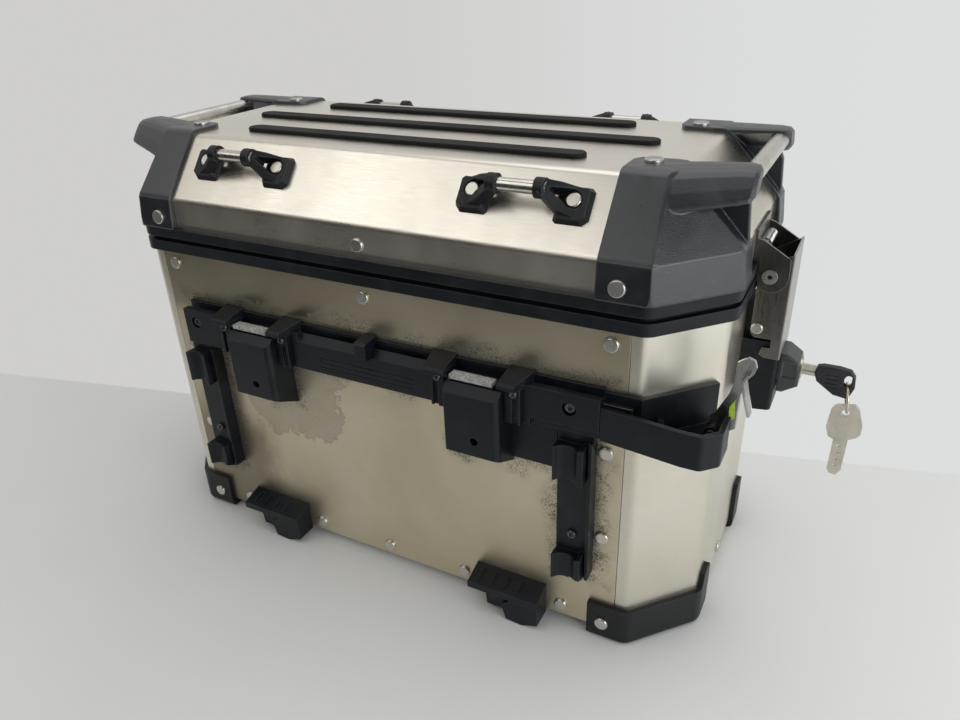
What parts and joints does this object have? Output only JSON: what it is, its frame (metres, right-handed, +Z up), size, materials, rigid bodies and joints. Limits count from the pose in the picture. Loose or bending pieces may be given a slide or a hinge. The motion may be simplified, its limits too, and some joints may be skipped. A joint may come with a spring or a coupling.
{
  "type": "motorcycle side case",
  "caption": "Aluminium motorcycle side case with chamfered corners, an end-hinged sloping lid, moulded corner guards, tie loops, a mounting rail and a key-locked hasp.",
  "frame": {"origin": "centre of the floor pan's underside; the moulded base corners stand 8 mm below it", "axes": "+Z up, +X towards the latch end, -Y towards the motorcycle (the side with the mounting rail)"},
  "size_m": [0.5984, 0.267, 0.3502],
  "materials": {
    "aluminium": "brushed, warm clear anodised",
    "black_nylon": "grained glass-filled nylon",
    "rubber": "matt",
    "rivet_steel": "satin zinc-nickel",
    "stainless": "brushed stainless",
    "dark_steel": "blackened",
    "zinc_plate": "rough zinc",
    "key_steel": "nickel plated",
    "key_plastic": "fine grain",
    "signal_green": "translucent yellow-green"
  },
  "bodies": {
    "case": {"back_panel": "aluminium", "outer_shell": "aluminium", "floor_pan": "aluminium", "body_rim": "black_nylon", "lid_seal": "rubber", "base_corner_front_right": "black_nylon", "base_corner_front_left": "black_nylon", "base_corner_rear_right": "black_nylon", "base_corner_rear_left": "black_nylon", "case_rivets": "rivet_steel", "base_corner_rivets": "rivet_steel", "rail_screws": "dark_steel", "mount_rail": "black_nylon", "rail_bumper": "black_nylon", "rail_clip": "black_nylon", "hook_block_left": "black_nylon", "hook_block_right": "black_nylon", "clamp_arm_left": "black_nylon", "clamp_arm_right": "black_nylon", "support_foot_left": "black_nylon", "support_foot_right": "black_nylon", "lever_pin": "stainless", "hinge_case_leaf": "stainless", "hinge_pin": "stainless", "lock_base": "black_nylon"},
    "lock_bar": {"lock_bar": "dark_steel", "hook_plates": "zinc_plate"},
    "release_lever": {"release_lever": "stainless", "lever_tab": "signal_green"},
    "lid": {"hinge_lid_leaf": "stainless", "lid_shell": "aluminium", "lid_rim": "black_nylon", "lid_corner_front_right": "black_nylon", "lid_corner_front_left": "black_nylon", "lid_corner_rear_right": "black_nylon", "lid_corner_rear_left": "black_nylon", "end_tube_right": "stainless", "end_tube_left": "stainless", "top_strip_front": "rubber", "top_strip_middle": "rubber", "top_strip_rear": "rubber", "tie_feet": "black_nylon", "tie_bar_front_left": "stainless", "tie_bar_front_right": "stainless", "tie_bar_rear_left": "stainless", "tie_bar_rear_right": "stainless", "lid_corner_rivets": "rivet_steel", "lid_rivets": "rivet_steel", "hasp_bracket": "stainless", "hasp_pin": "stainless", "hasp_spring": "stainless"},
    "hasp": {"hasp": "stainless", "hasp_rivets": "rivet_steel", "lock_housing": "black_nylon"},
    "lock_core": {"lock_core": "key_steel", "key_blade": "key_steel", "key_head": "key_plastic"},
    "lock_bolt": {"lock_bolt": "key_steel"},
    "key_ring": {"key_ring": "key_steel"},
    "spare_key": {"spare_key": "key_steel"}
  },
  "joints": [
    {"name": "lid_hinge", "type": "hinge", "parent": "case", "child": "lid", "pos_m": [-0.258, 0, 0.26035], "axis": [0, -1, 0], "range_deg": [0, 100]},
    {"name": "hasp_swing", "type": "hinge", "parent": "lid", "child": "hasp", "pos_m": [0.2625, 0, 0.2615], "axis": [0, -1, 0], "range_deg": [0, 40]},
    {"name": "key_turn", "type": "hinge", "parent": "hasp", "child": "lock_core", "pos_m": [0.285, 0, 0.188], "axis": [1, 0, 0], "range_deg": [0, 90]},
    {"name": "bolt_slide", "type": "slide", "parent": "hasp", "child": "lock_bolt", "axis": [-1, 0, 0], "range_m": [0, 0.005]},
    {"name": "lever_lift", "type": "hinge", "parent": "case", "child": "release_lever", "pos_m": [0.252, -0.099, 0.188], "axis": [0, 1, 0], "range_deg": [0, 35]},
    {"name": "bar_slide", "type": "slide", "parent": "case", "child": "lock_bar", "axis": [1, 0, 0], "range_m": [0, 0.0045]},
    {"name": "ring_swing", "type": "hinge", "parent": "lock_core", "child": "key_ring", "pos_m": [0.3214, 0, 0.182], "axis": [0, 1, 0], "range_deg": [-25, 25]},
    {"name": "spare_key_swing", "type": "hinge", "parent": "key_ring", "child": "spare_key", "pos_m": [0.32432, 0, 0.1612], "axis": [0, 1, 0], "range_deg": [-30, 30]}
  ],
  "couplings": [
    {"joint": "bolt_slide", "follows": "key_turn", "m_per_rad": 0.003177},
    {"joint": "bar_slide", "follows": "lever_lift", "m_per_rad": 0.00735}
  ]
}
